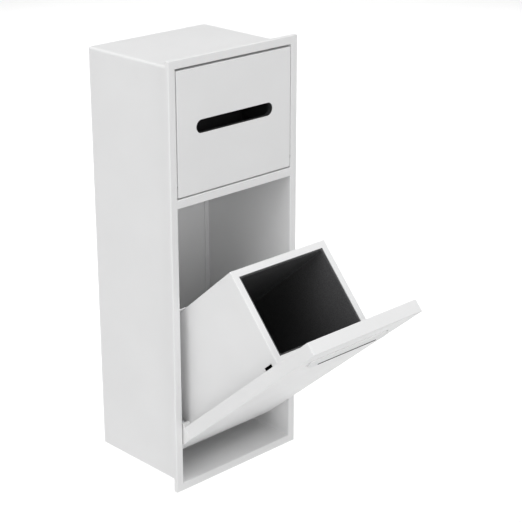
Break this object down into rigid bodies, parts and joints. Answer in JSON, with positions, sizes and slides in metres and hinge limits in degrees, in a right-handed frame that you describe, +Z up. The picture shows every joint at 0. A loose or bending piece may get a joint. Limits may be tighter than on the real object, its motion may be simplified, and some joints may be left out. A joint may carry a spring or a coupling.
{
  "type": "recessed wall cabinet with tilt-out waste bin",
  "caption": "Recessed wall cabinet with a slotted dispenser door above a tilt-out waste bin that holds a lift-out bucket.",
  "frame": {"origin": "centre of the four wall screws, on the outer face of the back panel, at mid-height and mid-width", "axes": "+X to the right seen from the front, +Y back into the wall, +Z up; the bin is drawn tilted out at its stops and the door is shut"},
  "size_m": [0.226, 0.412, 0.6],
  "materials": {
    "powder_coat": "satin white powder coat with a faint fine orange peel",
    "black_coat": "satin black powder coat",
    "white_plastic": "white moulded plastic",
    "black_plastic": "black moulded plastic",
    "bucket_black": "black plastic with a fine moulded grain and a low sheen",
    "black_rubber": "black rubber",
    "bright_steel": "turned bright steel",
    "zinc_steel": "zinc plated steel",
    "magnet_nickel": "nickel plated magnet"
  },
  "bodies": {
    "cabinet": {"housing_shell": "powder_coat", "back_panel": "powder_coat", "front_frame": "powder_coat", "divider_shelf": "powder_coat", "bin_pivot_studs": "bright_steel", "bin_stop_lugs": "bright_steel", "bin_stop_sleeves": "black_rubber", "bin_magnet_catches": "white_plastic", "bin_magnets": "magnet_nickel", "catch_screws": "zinc_steel", "door_pivot_studs": "bright_steel", "door_stop_lugs": "bright_steel", "door_stop_sleeves": "black_rubber", "door_magnet_catch": "black_plastic", "door_magnet": "magnet_nickel"},
    "dispenser_door": {"door_panel": "powder_coat", "door_pivot_blocks": "black_plastic", "door_block_screws": "zinc_steel", "slot_guide": "black_plastic", "pack_tray": "black_coat", "tray_studs": "zinc_steel", "tray_nuts": "zinc_steel", "door_strike": "zinc_steel", "door_stop_tabs": "zinc_steel"},
    "bin_unit": {"bin_panel": "powder_coat", "panel_stiffeners": "powder_coat", "pivot_ear_left": "white_plastic", "pivot_ear_right": "white_plastic", "ear_screws": "zinc_steel", "bin_shell": "powder_coat", "bin_bolts": "zinc_steel", "strike_tabs": "powder_coat", "bin_stop_tabs": "zinc_steel", "flap_brackets": "zinc_steel"},
    "flap": {"inlet_flap": "powder_coat", "flap_buffer": "black_rubber", "flap_pin": "bright_steel"},
    "bucket": {"inner_bucket": "bucket_black"}
  },
  "joints": [
    {"name": "door_tilt", "type": "hinge", "parent": "cabinet", "child": "dispenser_door", "pos_m": [0, -0.165, 0.1345], "axis": [1, 0, 0], "range_deg": [0, 55]},
    {"name": "bin_tilt", "type": "hinge", "parent": "cabinet", "child": "bin_unit", "pos_m": [0, -0.156, -0.2235], "axis": [1, 0, 0], "range_deg": [-49, 0]},
    {"name": "flap_swing", "type": "hinge", "parent": "bin_unit", "child": "flap", "pos_m": [0, -0.37624, -0.04397], "axis": [1, 0, 0], "range_deg": [0, 80]},
    {"name": "bucket_lift", "type": "slide", "parent": "bin_unit", "child": "bucket", "axis": [0, -0.7547, 0.6561], "range_m": [0, 0.095]}
  ]
}
